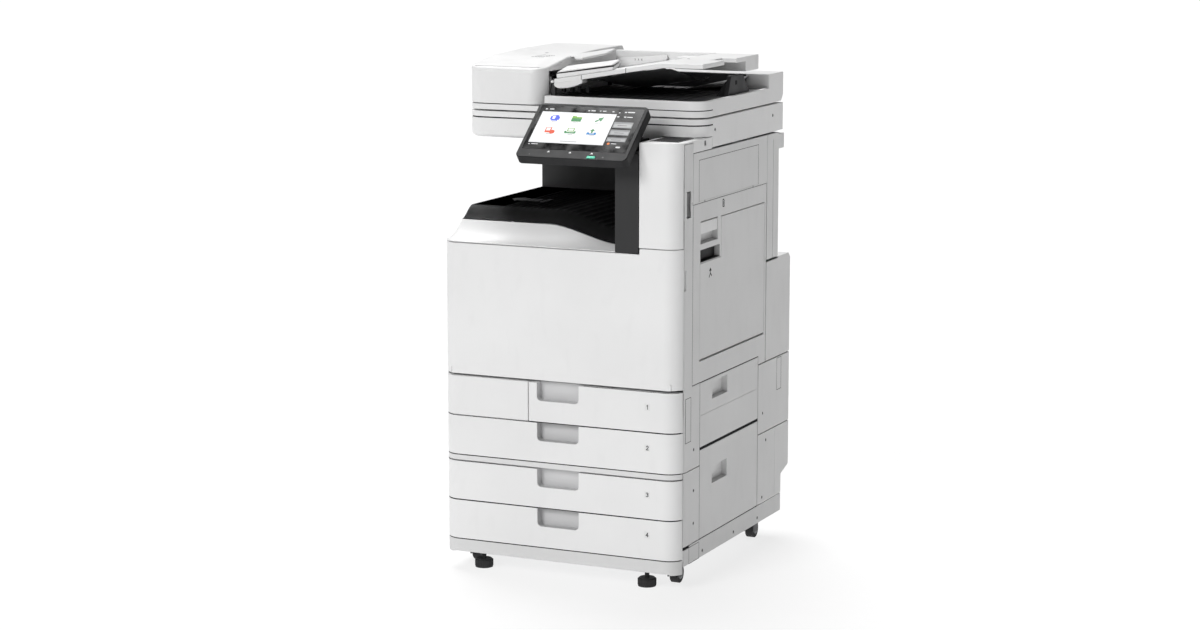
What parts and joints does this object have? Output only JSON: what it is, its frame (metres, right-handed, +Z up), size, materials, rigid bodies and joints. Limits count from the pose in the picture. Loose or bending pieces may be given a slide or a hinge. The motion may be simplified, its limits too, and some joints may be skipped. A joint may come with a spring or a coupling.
{
  "type": "photocopier",
  "caption": "Floor-standing office photocopier with paper drawers, an in-body output tray, a flat scanner under a document feeder and a tilting touch panel.",
  "frame": {"origin": "on the floor, at the middle of the bounding box", "axes": "+X to the right as seen from the front, +Y towards the back, +Z up; the front faces -Y"},
  "size_m": [0.565, 0.722, 1.124],
  "materials": {
    "cover_white": "fine-textured moulded plastic, off-white",
    "cavity_grey": "dark grey textured plastic",
    "tray_black": "near-black ribbed plastic",
    "panel_black": "dark satin bezel plastic",
    "screen_glass": "black touch screen glass",
    "key_green": "translucent green key",
    "steel": "galvanised sheet steel",
    "glass": "clear scanning glass",
    "pad_white": "white backing sheet over foam",
    "cassette_grey": "grey cassette plastic",
    "lever_grey": "light grey lever plastic",
    "rubber_black": "black rubber",
    "fork_metal": "dark plated steel",
    "foot_black": "black nylon foot",
    "screw_metal": "dark screw heads",
    "board_green": "circuit board laminate",
    "inlet_black": "black inlet plastic",
    "drum_green": "coated drum",
    "roller_black": "black roller rubber",
    "roller_red": "silicone roller rubber",
    "carriage_black": "black glass-filled plastic",
    "bottle_grey": "toner bottle plastic",
    "unit_grey": "grey painted unit housing"
  },
  "bodies": {
    "body": {"main_frame": "steel", "lower_frame": "steel", "base_trim": "cover_white", "left_cover": "cover_white", "lower_left_cover": "cover_white", "rear_cover": "cover_white", "rear_box": "cover_white", "lower_rear_cover": "cover_white", "shoulder_cover": "cover_white", "pillar_cover": "cover_white", "cavity_cover": "cavity_grey", "output_tray": "tray_black", "upper_right_cover": "cover_white", "front_column": "cover_white", "blank_cover": "cover_white", "scanner_base": "cover_white", "platen_glass": "glass", "cover_screws": "screw_metal", "power_inlet": "inlet_black", "circuit_boards": "board_green", "panel_arm": "panel_black", "laser_unit": "unit_grey", "levelling_feet": "foot_black", "rear_forks": "fork_metal"},
    "lid": {"lid_base": "cover_white", "lid_pad": "pad_white"},
    "feeder_cover": {"feeder_cover": "cover_white"},
    "document_tray": {"document_tray": "cover_white"},
    "guide_front": {"guide_front": "cover_white"},
    "guide_rear": {"guide_rear": "cover_white"},
    "feed_roller": {"feed_roller": "roller_black"},
    "control_panel": {"panel_case": "panel_black", "panel_screen": "screen_glass"},
    "panel_key": {"panel_key": "key_green"},
    "front_door": {"front_door": "cover_white"},
    "drawer_1": {"cassette_1": "cassette_grey", "cassette_front_1": "cover_white"},
    "drawer_2": {"cassette_2": "cassette_grey", "cassette_front_2": "cover_white"},
    "drawer_3": {"cassette_3": "cassette_grey", "cassette_front_3": "cover_white"},
    "drawer_4": {"cassette_4": "cassette_grey", "cassette_front_4": "cover_white"},
    "power_switch": {"power_switch": "inlet_black"},
    "right_door": {"right_door": "cover_white"},
    "right_lever": {"right_lever": "lever_grey"},
    "bypass_tray": {"bypass_tray": "cover_white"},
    "lower_right_door": {"lower_right_door": "cover_white"},
    "unit_right_door": {"unit_right_door": "cover_white"},
    "toner_bottle": {"toner_bottle": "bottle_grey"},
    "drum": {"drum": "drum_green"},
    "fuser_roller": {"fuser_roller": "roller_black"},
    "pressure_roller": {"pressure_roller": "roller_red"},
    "scan_carriage": {"scan_carriage": "carriage_black"},
    "front_left_fork": {"front_left_fork": "fork_metal"},
    "front_right_fork": {"front_right_fork": "fork_metal"},
    "front_left_wheel": {"front_left_wheel": "rubber_black"},
    "front_right_wheel": {"front_right_wheel": "rubber_black"},
    "rear_left_wheel": {"rear_left_wheel": "rubber_black"},
    "rear_right_wheel": {"rear_right_wheel": "rubber_black"}
  },
  "joints": [
    {"name": "lid_hinge", "type": "hinge", "parent": "body", "child": "lid", "pos_m": [0, 0.294, 1.012], "axis": [-1, 0, 0], "range_deg": [0, 65]},
    {"name": "feeder_cover_hinge", "type": "hinge", "parent": "lid", "child": "feeder_cover", "pos_m": [-0.28, 0.051, 1.023], "axis": [0, -1, 0], "range_deg": [0, 70]},
    {"name": "document_tray_hinge", "type": "hinge", "parent": "lid", "child": "document_tray", "pos_m": [-0.086, 0.02, 1.07], "axis": [0, -1, 0], "range_deg": [0, 25]},
    {"name": "guide_front_slide", "type": "slide", "parent": "document_tray", "child": "guide_front", "axis": [0, 1, 0], "range_m": [0, 0.09]},
    {"name": "guide_rear_slide", "type": "slide", "parent": "document_tray", "child": "guide_rear", "axis": [0, 1, 0], "range_m": [-0.09, 0]},
    {"name": "feed_roller_spin", "type": "hinge", "parent": "lid", "child": "feed_roller", "pos_m": [-0.118, 0.024, 1.062], "axis": [0, 1, 0], "continuous": true},
    {"name": "panel_tilt", "type": "hinge", "parent": "body", "child": "control_panel", "pos_m": [0.146, -0.258, 0.968], "axis": [1, 0, 0], "range_deg": [-25, 17]},
    {"name": "panel_key_press", "type": "slide", "parent": "control_panel", "child": "panel_key", "axis": [0, 0.6266, -0.7793], "range_m": [0, 0.0005], "stiffness_N_per_m": 600},
    {"name": "front_door_hinge", "type": "hinge", "parent": "body", "child": "front_door", "pos_m": [0, -0.284, 0.445], "axis": [1, 0, 0], "range_deg": [0, 85]},
    {"name": "drawer_1_slide", "type": "slide", "parent": "body", "child": "drawer_1", "axis": [0, -1, 0], "range_m": [0, 0.36]},
    {"name": "drawer_2_slide", "type": "slide", "parent": "body", "child": "drawer_2", "axis": [0, -1, 0], "range_m": [0, 0.36]},
    {"name": "drawer_3_slide", "type": "slide", "parent": "body", "child": "drawer_3", "axis": [0, -1, 0], "range_m": [0, 0.36]},
    {"name": "drawer_4_slide", "type": "slide", "parent": "body", "child": "drawer_4", "axis": [0, -1, 0], "range_m": [0, 0.36]},
    {"name": "power_switch_rock", "type": "hinge", "parent": "body", "child": "power_switch", "pos_m": [0.275, -0.243, 0.832], "axis": [0, 1, 0], "range_deg": [-8, 8]},
    {"name": "right_door_hinge", "type": "hinge", "parent": "body", "child": "right_door", "pos_m": [0.277, 0.2015, 0.63], "axis": [0, 0, 1], "range_deg": [0, 65]},
    {"name": "right_lever_hinge", "type": "hinge", "parent": "right_door", "child": "right_lever", "pos_m": [0.2785, -0.13, 0.782], "axis": [0, -1, 0], "range_deg": [0, 20], "stiffness_Nm_per_rad": 0.6},
    {"name": "bypass_tray_hinge", "type": "hinge", "parent": "right_door", "child": "bypass_tray", "pos_m": [0.2785, 0.007, 0.4945], "axis": [0, 1, 0], "range_deg": [0, 75]},
    {"name": "lower_right_door_hinge", "type": "hinge", "parent": "body", "child": "lower_right_door", "pos_m": [0.277, 0.1585, 0.368], "axis": [0, 0, 1], "range_deg": [0, 80]},
    {"name": "unit_right_door_hinge", "type": "hinge", "parent": "body", "child": "unit_right_door", "pos_m": [0.277, 0.1585, 0.19], "axis": [0, 0, 1], "range_deg": [0, 80]},
    {"name": "toner_bottle_spin", "type": "hinge", "parent": "body", "child": "toner_bottle", "pos_m": [-0.17, -0.031, 0.65], "axis": [0, 1, 0], "continuous": true},
    {"name": "drum_spin", "type": "hinge", "parent": "body", "child": "drum", "pos_m": [0.19, -0.031, 0.56], "axis": [0, 1, 0], "continuous": true},
    {"name": "fuser_roller_spin", "type": "hinge", "parent": "body", "child": "fuser_roller", "pos_m": [0.205, -0.031, 0.65], "axis": [0, 1, 0], "continuous": true},
    {"name": "pressure_roller_spin", "type": "hinge", "parent": "body", "child": "pressure_roller", "pos_m": [0.242, -0.031, 0.65], "axis": [0, 1, 0], "continuous": true},
    {"name": "scan_carriage_slide", "type": "slide", "parent": "body", "child": "scan_carriage", "axis": [1, 0, 0], "range_m": [0, 0.4]},
    {"name": "front_left_swivel", "type": "hinge", "parent": "body", "child": "front_left_fork", "pos_m": [-0.2395, -0.211, 0.05], "axis": [0, 0, 1], "continuous": true},
    {"name": "front_left_wheel_spin", "type": "hinge", "parent": "front_left_fork", "child": "front_left_wheel", "pos_m": [-0.2395, -0.199, 0.02], "axis": [1, 0, 0], "continuous": true},
    {"name": "front_right_swivel", "type": "hinge", "parent": "body", "child": "front_right_fork", "pos_m": [0.2395, -0.211, 0.05], "axis": [0, 0, 1], "continuous": true},
    {"name": "front_right_wheel_spin", "type": "hinge", "parent": "front_right_fork", "child": "front_right_wheel", "pos_m": [0.2395, -0.199, 0.02], "axis": [1, 0, 0], "continuous": true},
    {"name": "rear_left_wheel_spin", "type": "hinge", "parent": "body", "child": "rear_left_wheel", "pos_m": [-0.2395, 0.243, 0.02], "axis": [1, 0, 0], "continuous": true},
    {"name": "rear_right_wheel_spin", "type": "hinge", "parent": "body", "child": "rear_right_wheel", "pos_m": [0.2395, 0.243, 0.02], "axis": [1, 0, 0], "continuous": true}
  ],
  "couplings": [
    {"joint": "guide_rear_slide", "follows": "guide_front_slide", "ratio": -1},
    {"joint": "pressure_roller_spin", "follows": "fuser_roller_spin", "ratio": -0.98361}
  ]
}
